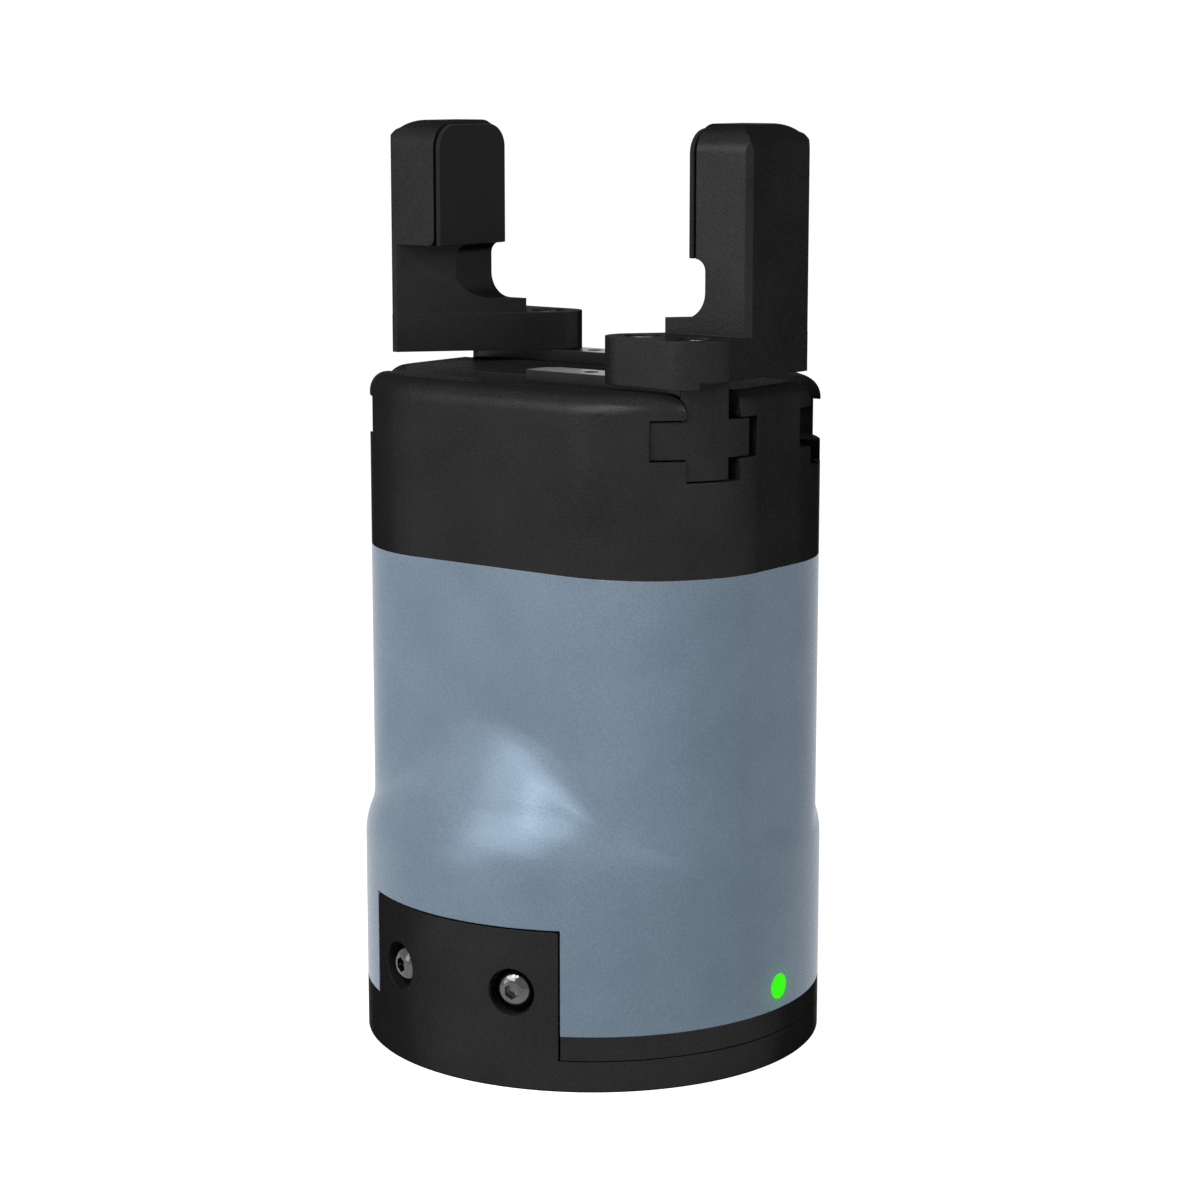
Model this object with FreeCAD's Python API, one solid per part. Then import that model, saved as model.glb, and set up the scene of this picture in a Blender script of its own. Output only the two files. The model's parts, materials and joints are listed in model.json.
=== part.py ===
import FreeCAD, Part
import math
import os

# Electric parallel gripper with two sliding fingers.
# Millimetres. Z is up, the mounting face is at z = 0 and the jaws slide along X.
# The right jaw is modelled, and the left jaw is the same jaw turned half a turn about Z.

# Driving sizes
BASE_R = 45.0
FLANGE_H = 6.0
SLEEVE_Z0 = 10.8
CAP_Z0 = 96.2
CAP_Z1 = 130.1
CAP_EDGE_R = 4.0
BODY_X = 43.6
BODY_Y = 31.7
BODY_CORNER = 25.3
CAP_WALL = 3.0
SLEEVE_WALL = 3.0
# Shoulder of the sleeve: how far it has drawn in from BASE_R, at each height
SHOULDER_Z0 = 38.8
SHOULDER = [(0.16, 41.5), (0.77, 44.0), (2.16, 47.2), (4.38, 51.0), (6.29, 53.8),
            (8.48, 57.2), (11.0, 61.2), (13.7, 64.7), (16.0, 67.6), (19.0, 71.0)]

TAB_HALF_DEG = 29.5
TAB_T = 5.0
TAB_Z1 = 30.8
TAB_GAP = 0.35
TAB_CORNER = 0.8
SIDE_SCREW_DEG = 17.9
SIDE_SCREW_Z = 18.7
SIDE_HEAD_R = 4.1
SIDE_RECESS_R = 4.55

BOLT_PCD = 50.0
BOLT_HOLE_R = 3.3
BOLT_HEAD_R = 5.6
PILOT_R = 15.75
DOWEL_R = 3.0

LIGHT_Z = 15.2
LIGHT_R = 2.5
SOCKET_Z = 23.0
SOCKET_R = 6.0

STROKE = 30.0
JAW_Y = 17.4
NECK_HALF = 3.65
ARM_HALF = 8.7
ARM_Z0 = CAP_Z1 - 11.85
ARM_Z1 = CAP_Z1 - 5.0
SLIDER_Z0 = CAP_Z1 - 15.9
SLIDER_Z1 = CAP_Z1 + 2.25
SLIDER_X0 = 0.35
SLIDER_RECESS = 0.45
END_CAP_T = 1.2
SLOT_NECK_HALF = 5.9
SLOT_ARM_HALF = 10.4
SLOT_PLAY = 0.3
SLOT_LIP_R = 3.0
SLOT_EDGE_R = 0.5
SCREW_X = (25.0, 37.0)
HOLE_X = (13.0, 19.0)
DOWEL_X = (31.0,)

FINGER_X = 43.1
FINGER_HALF = 9.57
FINGER_EDGE = 1.0
FOOT_Z1 = SLIDER_Z1 + 7.45
FINGER_Z1 = FOOT_Z1 + 38.3
FOOT_Y = -23.8
FOOT_CORNER = 8.0
FOOT_TIP_R = 4.0
LIP_DROP = 1.25
TOE_Z = FOOT_Z1 + 2.9
BAR_Z0 = FOOT_Z1 + 13.9
BAR_X = 31.65
BAR_CORNER = 1.5
NOTCH_X = 33.8
TIP_R = 5.2
PAD_X = STROKE
PAD_T = 1.1
PAD_HALF = 9.5
PAD_Z1 = FINGER_Z1 - 0.8

RAIL_X = 22.0
ROLLER_D = 1.9
GROOVE = 1.42
RAIL_GAP = 0.45
RAIL_T = 2.4
CAGE_T = 0.2
GROOVE_X1 = 31.0
CAGE_X = (1.0, 15.8)
ROLLER_PITCH = 3.6
ROLLER_COUNT = 4

GEAR_M = 1.0
PINION_TEETH = 24
PINION_Z = (SLIDER_Z0 - 8.4, SLIDER_Z0 - 1.8)
RACK_X = (-5.4, 32.0)
RACK_Z = (SLIDER_Z0 - 8.8, SLIDER_Z0)
RACK_BACK = 18.6
SUN_TEETH = 18
PLANET_TEETH = 18
RING_TEETH = 54
STAGE_M = 0.5
PLATE_Z = (SLIDER_Z0 - 16.2, SLIDER_Z0 - 12.7)
STAGE_Z = (PLATE_Z[0] - 14.0, PLATE_Z[0] - 8.0)

MOTOR_R = 21.0
RING_OUT = MOTOR_R + 3.0
MOTOR_Z = (STAGE_Z[0] - 36.0, STAGE_Z[0] - 4.0)
BOARD_Z = (MOTOR_Z[0] - 21.0, MOTOR_Z[0] - 11.0)
BOARD_R = BASE_R - 18.0
STANDOFF_ORBIT = BOARD_R - 3.0
REACH = 200.0


def box(x0, x1, y0, y1, z0, z1):
    return Part.makeBox(x1 - x0, y1 - y0, z1 - z0, FreeCAD.Vector(x0, y0, z0))


def cyl(x, y, z0, z1, r):
    return Part.makeCylinder(r, z1 - z0, FreeCAD.Vector(x, y, z0))


def tube(x, y, z0, z1, r0, r1):
    return cyl(x, y, z0, z1, r1).cut(cyl(x, y, z0 - 1, z1 + 1, r0))


def rod(p, d, r, length):
    return Part.makeCylinder(r, length, FreeCAD.Vector(*p), FreeCAD.Vector(*d))


def prism(points, z0, z1):
    pts = [FreeCAD.Vector(x, y, z0) for x, y in points]
    face = Part.Face(Part.makePolygon(pts + [pts[0]]))
    return face.extrude(FreeCAD.Vector(0, 0, z1 - z0))


def end_prism(points, x0, x1):
    pts = [FreeCAD.Vector(x0, y, z) for y, z in points]
    face = Part.Face(Part.makePolygon(pts + [pts[0]]))
    return face.extrude(FreeCAD.Vector(x1 - x0, 0, 0))


def rounded_plan(corners, z0, z1):
    """Plan outline with a radius at each corner, raised from z0 to z1."""
    edges = []
    starts = []
    ends = []
    n = len(corners)
    for i in range(n):
        x, y, r = corners[i]
        p = FreeCAD.Vector(x, y, z0)
        a = FreeCAD.Vector(corners[i - 1][0], corners[i - 1][1], z0) - p
        b = FreeCAD.Vector(corners[(i + 1) % n][0], corners[(i + 1) % n][1], z0) - p
        a.normalize()
        b.normalize()
        if r <= 0:
            starts.append(p)
            ends.append(p)
            continue
        half = a.getAngle(b) / 2
        t = r / math.tan(half)
        s = p + a * t
        e = p + b * t
        mid = a + b
        mid.normalize()
        m = p + mid * (r / math.sin(half) - r)
        edges.append(Part.Arc(s, m, e).toShape())
        starts.append(s)
        ends.append(e)
    for i in range(n):
        if (ends[i] - starts[(i + 1) % n]).Length > 1e-6:
            edges.append(Part.makeLine(ends[i], starts[(i + 1) % n]))
    wire = Part.Wire(Part.__sortEdges__(edges))
    return Part.Face(wire).extrude(FreeCAD.Vector(0, 0, z1 - z0))


def body_prism(inset, z0, z1):
    x = BODY_X - inset
    y = BODY_Y - inset
    r = BODY_CORNER - inset
    return rounded_plan([(x, y, r), (-x, y, r), (-x, -y, r), (x, -y, r)], z0, z1)


def sector(half_deg, r0, r1, z0, z1, sign=-1):
    """Block between two radii, centred on -Y for sign -1 and on +Y for sign 1."""
    reach = r1 * 2
    a = math.radians(half_deg)
    wedge = prism([(0, 0), (reach * math.sin(a), sign * reach * math.cos(a)),
                   (-reach * math.sin(a), sign * reach * math.cos(a))], z0, z1)
    return tube(0, 0, z0, z1, r0, r1).common(wedge)


def turned(shape):
    out = shape.copy()
    out.rotate(FreeCAD.Vector(0, 0, 0), FreeCAD.Vector(0, 0, 1), 180)
    return out


def spun(shape, x, y, degrees):
    out = shape.copy()
    out.rotate(FreeCAD.Vector(x, y, 0), FreeCAD.Vector(0, 0, 1), degrees)
    return out


def group(shapes):
    return Part.makeCompound(shapes)


def save(name, shape):
    shape.exportStep("parts/" + name + ".step")


def radial(deg, r, z, sign):
    a = math.radians(deg)
    return (r * math.sin(a), sign * r * math.cos(a), z)


def radial_dir(deg, sign):
    a = math.radians(deg)
    return (math.sin(a), sign * math.cos(a), 0)


def gear_outline(teeth, module, shrink, phase, inner=False):
    """Straight-flanked teeth. shrink thins each tooth at its pitch circle, in millimetres."""
    r = teeth * module / 2
    tip = r + module * (0.86 if not inner else -0.86)
    root = r - module * (1.2 if not inner else -1.2)
    pitch = 2 * math.pi / teeth
    half = pitch / 4 - shrink / (2 * r)
    lean = math.tan(math.radians(20))
    if inner:
        half_tip = half - (r - tip) * lean / r
        half_root = half + (root - r) * lean / r
    else:
        half_tip = half - (tip - r) * lean / r
        half_root = half + (r - root) * lean / r
    pts = []
    for i in range(teeth):
        c = phase + i * pitch
        for a, rr in ((-half_root, root), (-half_tip, tip), (half_tip, tip), (half_root, root)):
            pts.append((rr * math.cos(c + a), rr * math.sin(c + a)))
    return pts


def moved_points(points, dx, dy):
    return [(x + dx, y + dy) for x, y in points]


def cross_tunnel():
    """Cross-shaped way for one jaw, open along X and at the top."""
    play = SLOT_PLAY
    out = box(-REACH, REACH, -JAW_Y - SLOT_ARM_HALF, -JAW_Y + SLOT_ARM_HALF, ARM_Z0 - play, ARM_Z1 + play)
    y0 = -JAW_Y - SLOT_NECK_HALF
    y1 = -JAW_Y + SLOT_NECK_HALF
    out = out.fuse(box(-REACH, REACH, y0, y1, SLIDER_Z0 - play, CAP_Z1 + 5))
    r = SLOT_LIP_R
    lip_x = BODY_X - 5.5
    for x0, x1 in ((lip_x, REACH), (-REACH, -lip_x)):
        for edge, side in ((y0, -1), (y1, 1)):
            lo = min(edge, edge + side * r)
            hi = max(edge, edge + side * r)
            lip = box(x0, x1, lo, hi, CAP_Z1 - r, CAP_Z1 + 5)
            lip = lip.cut(rod((x0 - 1, edge + side * r, CAP_Z1 - r), (1, 0, 0), r, x1 - x0 + 2))
            out = out.fuse(lip)
    r = SLOT_EDGE_R
    for edge, side in ((y0, -1), (y1, 1)):
        for height, up in ((ARM_Z0 - play, -1), (ARM_Z1 + play, 1)):
            y = sorted((edge, edge + side * r))
            z = sorted((height, height + up * r))
            corner = box(-REACH, REACH, y[0], y[1], z[0], z[1])
            corner = corner.cut(rod((-REACH - 1, edge + side * r, height + up * r), (1, 0, 0), r, 2 * REACH + 2))
            out = out.fuse(corner)
    return out


def v_groove(y, z, half, x0, x1):
    """Square prism standing on its corner, for a crossed roller way."""
    return end_prism([(y - half, z), (y, z - half), (y + half, z), (y, z + half)], x0, x1)


ARM_MID = (ARM_Z0 + ARM_Z1) / 2
OUTER_FACE = -JAW_Y - ARM_HALF
INNER_FACE = -JAW_Y + ARM_HALF
OUTER_WAY = OUTER_FACE - RAIL_GAP / 2
INNER_WAY = INNER_FACE + RAIL_GAP / 2
WAYS = (OUTER_WAY, INNER_WAY)


def rail_blank(way):
    side = -1 if way < -JAW_Y else 1
    face = way + side * RAIL_GAP / 2
    y0 = min(face, face + side * RAIL_T)
    y1 = max(face, face + side * RAIL_T)
    return box(-RAIL_X, RAIL_X, y0, y1, ARM_Z0 + 0.4, ARM_Z1 - 0.4)


def rail(way):
    return rail_blank(way).cut(v_groove(way, ARM_MID, GROOVE, -RAIL_X - 1, RAIL_X + 1))


def cage(way):
    plate = box(CAGE_X[0], CAGE_X[1], way - CAGE_T / 2, way + CAGE_T / 2, ARM_MID - 2.6, ARM_MID + 2.6)
    for i in range(ROLLER_COUNT):
        x = roller_x(i)
        plate = plate.cut(box(x - 1.15, x + 1.15, way - 1, way + 1, ARM_MID - 1.6, ARM_MID + 1.6))
    return plate


def roller_x(i):
    mid = (CAGE_X[0] + CAGE_X[1]) / 2
    return mid + (i - (ROLLER_COUNT - 1) / 2) * ROLLER_PITCH


def rollers(way):
    out = []
    h = (ROLLER_D - 0.1) / 2
    for i in range(ROLLER_COUNT):
        s = 1 if i % 2 == 0 else -1
        d = (0, math.sqrt(0.5), s * math.sqrt(0.5))
        p = (roller_x(i), way - d[1] * h, ARM_MID - d[2] * h)
        out.append(rod(p, d, ROLLER_D / 2, 2 * h))
    return out


os.makedirs("parts", exist_ok=True)

# Mounting flange with its two side tabs
flange = cyl(0, 0, 0, FLANGE_H, BASE_R)
flange = flange.makeChamfer(0.3, [e for e in flange.Edges if abs(e.BoundBox.ZMax) < 1e-6])
for sign in (-1, 1):
    tab = sector(TAB_HALF_DEG, BASE_R - TAB_T, BASE_R, FLANGE_H - 1, TAB_Z1, sign)
    reach = BASE_R * math.sin(math.radians(TAB_HALF_DEG))
    for side in (-1, 1):
        inner_x = side * (reach - TAB_CORNER)
        x = sorted((inner_x, inner_x + side * 2 * TAB_CORNER))
        corner = box(x[0], x[1], -REACH, REACH, TAB_Z1 - TAB_CORNER, TAB_Z1 + 1)
        corner = corner.cut(rod((inner_x, -REACH, TAB_Z1 - TAB_CORNER), (0, 1, 0), TAB_CORNER, 2 * REACH))
        tab = tab.cut(corner)
    flange = flange.fuse(tab)
flange = flange.cut(cyl(0, 0, -1, FLANGE_H + 1, PILOT_R))
for k in range(4):
    a = math.radians(45 + 90 * k)
    x = BOLT_PCD / 2 * math.cos(a)
    y = BOLT_PCD / 2 * math.sin(a)
    flange = flange.cut(cyl(x, y, -1, FLANGE_H + 1, BOLT_HOLE_R))
flange = flange.cut(cyl(-BOLT_PCD / 2, 0, -1, FLANGE_H + 1, DOWEL_R))
BASE_DOWEL_R = 2.0
BASE_DOWEL_TOP = FLANGE_H + 6.0
BASE_DOWEL_DEG = (105.0, 285.0)
BASE_DOWEL_ORBIT = BASE_R - 10.2
DOWEL_AT = [(BASE_DOWEL_ORBIT * math.sin(math.radians(d)), BASE_DOWEL_ORBIT * math.cos(math.radians(d)))
            for d in BASE_DOWEL_DEG]
for x, y in DOWEL_AT:
    flange = flange.cut(cyl(x, y, FLANGE_H - 3, FLANGE_H + 1, BASE_DOWEL_R))
side_screws = []
for sign in (-1, 1):
    for deg in (-SIDE_SCREW_DEG, SIDE_SCREW_DEG):
        out_dir = radial_dir(deg, sign)
        in_dir = tuple(-v for v in out_dir)
        seat = BASE_R - 2.7
        flange = flange.cut(rod(radial(deg, seat, SIDE_SCREW_Z, sign), out_dir, SIDE_RECESS_R, 6))
        flange = flange.cut(rod(radial(deg, BASE_R - 9, SIDE_SCREW_Z, sign), out_dir, 2.25, 12))
        head = rod(radial(deg, seat, SIDE_SCREW_Z, sign), out_dir, SIDE_HEAD_R, 2.35)
        outer = [e for e in head.Edges if abs(e.Length - 2 * math.pi * SIDE_HEAD_R) < 0.01]
        far = max(outer, key=lambda e: FreeCAD.Vector(e.CenterOfMass.x, e.CenterOfMass.y, 0).Length)
        head = head.makeFillet(1.9, [far])
        hexagon = []
        up = FreeCAD.Vector(0, 0, 1)
        side = FreeCAD.Vector(*out_dir).cross(up)
        centre = FreeCAD.Vector(*radial(deg, seat + 0.9, SIDE_SCREW_Z, sign))
        for k in range(6):
            b = math.radians(60 * k + 90)
            hexagon.append(centre + side * (1.5 * math.cos(b)) + up * (1.5 * math.sin(b)))
        socket = Part.Face(Part.makePolygon(hexagon + [hexagon[0]]))
        head = head.cut(socket.extrude(FreeCAD.Vector(*out_dir) * 4))
        shank = rod(radial(deg, seat, SIDE_SCREW_Z, sign), in_dir, 2.0, 12)
        side_screws.append(head.fuse(shank))
save("flange_adapter", flange)
save("flange_side_screws", group(side_screws))

# Base plate that closes the housing from below
PLATE_R_IN = BASE_R - TAB_T - TAB_GAP
BOSS_IN = BASE_R - 15.0
BOSS_OUT = BASE_R - 9.0
BOSS_Z1 = SIDE_SCREW_Z + 5.3
base = cyl(0, 0, FLANGE_H + 0.2, SLEEVE_Z0, BASE_R)
base = base.fuse(cyl(0, 0, SLEEVE_Z0 - 1, SLEEVE_Z0 + 4, BOSS_OUT))
for sign in (-1, 1):
    base = base.cut(sector(TAB_HALF_DEG + 0.5, PLATE_R_IN, REACH, 0, SLEEVE_Z0 + 1, sign))
    boss = sector(26, BOSS_IN, BOSS_OUT, SLEEVE_Z0 + 1, BOSS_Z1, sign)
    base = base.fuse(boss)
    for deg in (-SIDE_SCREW_DEG, SIDE_SCREW_DEG):
        base = base.cut(rod(radial(deg, BOSS_IN - 1, SIDE_SCREW_Z, sign), radial_dir(deg, sign), 2.0, 12))
for k in range(4):
    a = math.radians(45 + 90 * k)
    x = BOLT_PCD / 2 * math.cos(a)
    y = BOLT_PCD / 2 * math.sin(a)
    base = base.cut(cyl(x, y, 0, FLANGE_H + 7, BOLT_HEAD_R))
base = base.cut(cyl(0, 0, 0, BOSS_Z1, 12.0))
for x, y in DOWEL_AT:
    base = base.cut(cyl(x, y, 0, BASE_DOWEL_TOP, BASE_DOWEL_R))
seal = tube(0, 0, FLANGE_H + 0.2, FLANGE_H + 1.4, BASE_R - 8.0, BASE_R - 6.6)
base = base.cut(seal)
save("base_plate", base)
save("base_seal_ring", seal)
save("base_dowels", group([cyl(x, y, FLANGE_H - 3, BASE_DOWEL_TOP, BASE_DOWEL_R) for x, y in DOWEL_AT]))

# Outer sleeve with its rounded shoulder and the tab recesses
profile = [FreeCAD.Vector(BASE_R - drop, 0, z) for drop, z in SHOULDER]
curve = Part.BSplineCurve()
curve.interpolate(profile)
z_top = SHOULDER[-1][1]
edges = [Part.makeLine(FreeCAD.Vector(0, 0, SLEEVE_Z0), FreeCAD.Vector(BASE_R, 0, SLEEVE_Z0)),
         Part.makeLine(FreeCAD.Vector(BASE_R, 0, SLEEVE_Z0), FreeCAD.Vector(BASE_R, 0, SHOULDER_Z0)),
         Part.makeLine(FreeCAD.Vector(BASE_R, 0, SHOULDER_Z0), profile[0]),
         curve.toShape(),
         Part.makeLine(profile[-1], FreeCAD.Vector(0, 0, z_top)),
         Part.makeLine(FreeCAD.Vector(0, 0, z_top), FreeCAD.Vector(0, 0, SLEEVE_Z0))]
shoulder = Part.Face(Part.Wire(edges)).revolve(FreeCAD.Vector(0, 0, 0), FreeCAD.Vector(0, 0, 1), 360)
sleeve = shoulder.fuse(body_prism(0, SHOULDER_Z0 + 1.2, CAP_Z0))
sleeve = sleeve.cut(body_prism(SLEEVE_WALL, SHOULDER_Z0, CAP_Z0 + 1))
hollow = cyl(0, 0, 0, SHOULDER_Z0 + 1.2, BASE_R - SLEEVE_WALL)
for sign in (-1, 1):
    hollow = hollow.cut(sector(TAB_HALF_DEG + 6, BOSS_OUT + 0.2, REACH, -1, TAB_Z1 + 3, sign))
sleeve = sleeve.cut(hollow)
for sign in (-1, 1):
    sleeve = sleeve.cut(sector(TAB_HALF_DEG + 0.45, PLATE_R_IN, REACH, 0, TAB_Z1 + TAB_GAP, sign))
    for deg in (-SIDE_SCREW_DEG, SIDE_SCREW_DEG):
        sleeve = sleeve.cut(rod(radial(deg, BASE_R - 12, SIDE_SCREW_Z, sign), radial_dir(deg, sign), 2.25, 12))
sleeve = sleeve.cut(rod((BASE_R - 7, 0, LIGHT_Z), (1, 0, 0), LIGHT_R, 10))
sleeve = sleeve.cut(rod((-BASE_R - 5, 0, SOCKET_Z), (1, 0, 0), SOCKET_R, 14))
save("housing_sleeve", sleeve)

# Status light
lens = rod((BASE_R - 5.5, 0, LIGHT_Z), (1, 0, 0), LIGHT_R, 6.5).common(cyl(0, 0, 0, SHOULDER_Z0, BASE_R))
lens = lens.fuse(rod((BASE_R - 6, 0, LIGHT_Z), (1, 0, 0), LIGHT_R + 1.2, 2.2))
save("status_light_lens", lens)
light_board = box(BASE_R - 8, BASE_R - 6.4, -6, 6, SLEEVE_Z0 + 0.2, LIGHT_Z + 6.8)
save("status_light_board", light_board)

# Cable socket in the hidden side
shell = rod((-BASE_R + 0.6, 0, SOCKET_Z), (1, 0, 0), SOCKET_R, 10.4)
shell = shell.fuse(rod((-BASE_R + SLEEVE_WALL + 0.8, 0, SOCKET_Z), (1, 0, 0), SOCKET_R + 1.4, 1.6))
shell = shell.cut(rod((-BASE_R - 5, 0, SOCKET_Z), (1, 0, 0), 4.2, 20))
insert = rod((-BASE_R + 3.6, 0, SOCKET_Z), (1, 0, 0), 4.2, 9.4)
pins = []
for k in range(8):
    r = 2.6 if k else 0.0
    a = math.radians(360 / 7 * k)
    y = r * math.cos(a)
    z = SOCKET_Z + r * math.sin(a)
    pins.append(rod((-BASE_R + 1.6, y, z), (1, 0, 0), 0.4, 14.0))
    insert = insert.cut(rod((-BASE_R + 1, y, z), (1, 0, 0), 0.4, 20))
save("cable_socket_shell", shell)
save("cable_socket_insert", insert)
save("cable_socket_pins", group(pins))

# Guide cap with the two cross-shaped ways
TOP_CAVITY = SLIDER_Z0 - 1.0
BEARING_TOP = TOP_CAVITY + 3.8
cap = body_prism(0, CAP_Z0, CAP_Z1)
top_edges = [e for e in cap.Edges if e.BoundBox.ZMin > CAP_Z1 - 1e-4]
cap = cap.makeFillet(CAP_EDGE_R, top_edges)
cap = cap.cut(body_prism(CAP_WALL, CAP_Z0 - 1, TOP_CAVITY))
for part in (cross_tunnel(), turned(cross_tunnel())):
    cap = cap.cut(part)
rack_way = box(-BODY_X + 7, BODY_X - 7, -JAW_Y - SLOT_NECK_HALF, -10.7, TOP_CAVITY - 1, SLIDER_Z0)
rack_way = rack_way.common(body_prism(CAP_WALL, TOP_CAVITY - 1, SLIDER_Z0))
for part in (rack_way, turned(rack_way)):
    cap = cap.cut(part)
for way in WAYS:
    cap = cap.cut(rail_blank(way))
    cap = cap.cut(turned(rail_blank(way)))
BEARING_R = 9.5
cap = cap.cut(cyl(0, 0, TOP_CAVITY - 1, BEARING_TOP, BEARING_R))
TIE_AT = ((19.5, 22.8), (-19.5, 22.8), (-19.5, -22.8), (19.5, -22.8))
POST_X = BODY_X - 7.0
POST_Y = BODY_Y - 6.3
TIE_AT_FIXED = ((POST_X, 0.0), (-POST_X, 0.0), (0.0, POST_Y), (0.0, -POST_Y))
for x, y in TIE_AT_FIXED:
    boss_r = 3.4
    post = cyl(x, y, PLATE_Z[1], TOP_CAVITY + 0.2, boss_r)
    cap = cap.fuse(post.common(body_prism(CAP_WALL - 0.2, PLATE_Z[1], TOP_CAVITY + 0.2)))
    cap = cap.cut(cyl(x, y, PLATE_Z[1], PLATE_Z[1] + 9, 1.5))
save("guide_cap", cap)

# Roller ways and their screws
save("right_outer_rail", rail(OUTER_WAY))
save("right_inner_rail", rail(INNER_WAY))
save("left_outer_rail", turned(rail(OUTER_WAY)))
save("left_inner_rail", turned(rail(INNER_WAY)))

# Bearing plate, screwed up into the cap, with the pinion bearings
plate = body_prism(CAP_WALL + 0.4, PLATE_Z[0], PLATE_Z[1])
plate = plate.cut(cyl(0, 0, PLATE_Z[0] - 1, PLATE_Z[1] + 1, BEARING_R))
for x, y in TIE_AT_FIXED:
    plate = plate.cut(cyl(x, y, PLATE_Z[0] - 1, PLATE_Z[1] + 1, 1.5))
    plate = plate.cut(cyl(x, y, PLATE_Z[0] - 1, PLATE_Z[0] + 2.0, 2.75))
for x, y in TIE_AT:
    plate = plate.cut(cyl(x, y, PLATE_Z[0] - 1, PLATE_Z[1] + 1, 1.5))
save("bearing_plate", plate)
plate_screws = [cyl(x, y, PLATE_Z[0], PLATE_Z[0] + 2.0, 2.75).fuse(
    cyl(x, y, PLATE_Z[0] + 2.0, PLATE_Z[1] + 9, 1.5)) for x, y in TIE_AT_FIXED]
save("pinion_lower_bearing", tube(0, 0, PLATE_Z[0], PLATE_Z[1], 4.0, BEARING_R))
save("pinion_upper_bearing", tube(0, 0, TOP_CAVITY + 0.2, BEARING_TOP, 4.0, BEARING_R))

# Planet stage housing, hung from the bearing plate
ring = cyl(0, 0, STAGE_Z[0] - 2.0, PLATE_Z[0], RING_OUT)
ring_teeth = gear_outline(RING_TEETH, STAGE_M, 0.16, math.pi / RING_TEETH, True)
ring = ring.cut(prism(ring_teeth, STAGE_Z[0] - 3, PLATE_Z[0] + 1))
ring = ring.cut(cyl(0, 0, STAGE_Z[1] + 0.4, PLATE_Z[0] + 1, 16.0))
lugs = []
for x, y in TIE_AT:
    lug = cyl(x, y, PLATE_Z[0] - 5, PLATE_Z[0], 4.0)
    link = prism([(x * 0.55 - 2.5, y * 0.55), (x * 0.55 + 2.5, y * 0.55), (x + 2.5, y), (x - 2.5, y)],
                 PLATE_Z[0] - 5, PLATE_Z[0])
    link = link.cut(cyl(0, 0, STAGE_Z[0], PLATE_Z[1], 20.0))
    ring = ring.fuse(lug.common(body_prism(CAP_WALL + 0.5, STAGE_Z[0], PLATE_Z[1]))).fuse(link)
for x, y in TIE_AT:
    ring = ring.cut(cyl(x, y, PLATE_Z[0] - 8, PLATE_Z[1], 1.5))
save("stage_ring_housing", ring)
stage_screws = [cyl(x, y, PLATE_Z[0] - 8, PLATE_Z[1], 1.5).fuse(
    cyl(x, y, PLATE_Z[0] - 8, PLATE_Z[0] - 5, 2.7)) for x, y in TIE_AT]
save("bearing_plate_screws", group(plate_screws + stage_screws))

# Motor
motor = tube(0, 0, MOTOR_Z[0], MOTOR_Z[1] + 2.0, MOTOR_R, RING_OUT)
motor = motor.fuse(tube(0, 0, MOTOR_Z[1], MOTOR_Z[1] + 2.0, 6.0, RING_OUT))
motor = motor.fuse(tube(0, 0, MOTOR_Z[0] - 2.0, MOTOR_Z[0], 6.0, RING_OUT))
stator = tube(0, 0, MOTOR_Z[0] + 4, MOTOR_Z[1] - 4, 13.5, MOTOR_R)
for k in range(12):
    slot = box(13.0, 18.5, -1.2, 1.2, MOTOR_Z[0], MOTOR_Z[1])
    stator = stator.cut(spun(slot, 0, 0, 30 * k))
save("motor_can", motor)
save("motor_stator", stator)
save("motor_upper_bearing", tube(0, 0, MOTOR_Z[1] - 0.5, MOTOR_Z[1] + 2.0, 2.6, 6.0))
save("motor_lower_bearing", tube(0, 0, MOTOR_Z[0] - 2.0, MOTOR_Z[0] + 0.5, 2.6, 6.0))

# Circuit boards on standoffs
power = cyl(0, 0, BOARD_Z[0], BOARD_Z[0] + 1.6, BOARD_R)
drive = cyl(0, 0, BOARD_Z[1], BOARD_Z[1] + 1.6, BOARD_R)
ENCODER_Z = MOTOR_Z[0] - 5.0
encoder = cyl(0, 0, ENCODER_Z, ENCODER_Z + 1.2, 12.0)
stand = []
for k in range(4):
    a = math.radians(90 * k)
    x = STANDOFF_ORBIT * math.cos(a)
    y = STANDOFF_ORBIT * math.sin(a)
    power = power.cut(cyl(x, y, 0, MOTOR_Z[0], 1.3))
    drive = drive.cut(cyl(x, y, 0, MOTOR_Z[0], 1.3))
    pillar = cyl(x, y, SLEEVE_Z0 + 4, BOARD_Z[0], 2.4)
    pillar = pillar.fuse(cyl(x, y, BOARD_Z[0] + 1.6, BOARD_Z[1], 2.4))
    pillar = pillar.fuse(cyl(x, y, BOARD_Z[1] + 1.6, MOTOR_Z[0] - 2.0, 2.4))
    pillar = pillar.fuse(cyl(x, y, SLEEVE_Z0 + 4, MOTOR_Z[0] - 2.0, 1.3))
    stand.append(pillar)
chips = []
for x, y, w, h, t in ((-8, 6, 9, 9, 1.4), (9, 8, 7, 5, 2.0), (8, -9, 10, 6, 2.6), (-9, -8, 5, 8, 1.2)):
    chips.append(box(x - w / 2, x + w / 2, y - h / 2, y + h / 2, BOARD_Z[1] + 1.6, BOARD_Z[1] + 1.6 + t))
for x, y, r, t in ((-10, 9, 3.2, 7.0), (10, 10, 3.2, 7.0), (11, -9, 4.0, 6.0)):
    chips.append(cyl(x, y, BOARD_Z[0] + 1.6, BOARD_Z[0] + 1.6 + t, r))
enc_posts = []
for k in range(3):
    a = math.radians(30 + 120 * k)
    x = 9.6 * math.cos(a)
    y = 9.6 * math.sin(a)
    enc_posts.append(cyl(x, y, ENCODER_Z + 1.2, MOTOR_Z[0] - 2.0, 1.4))
save("power_board", power)
save("drive_board", drive)
save("board_components", group(chips))
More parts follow.
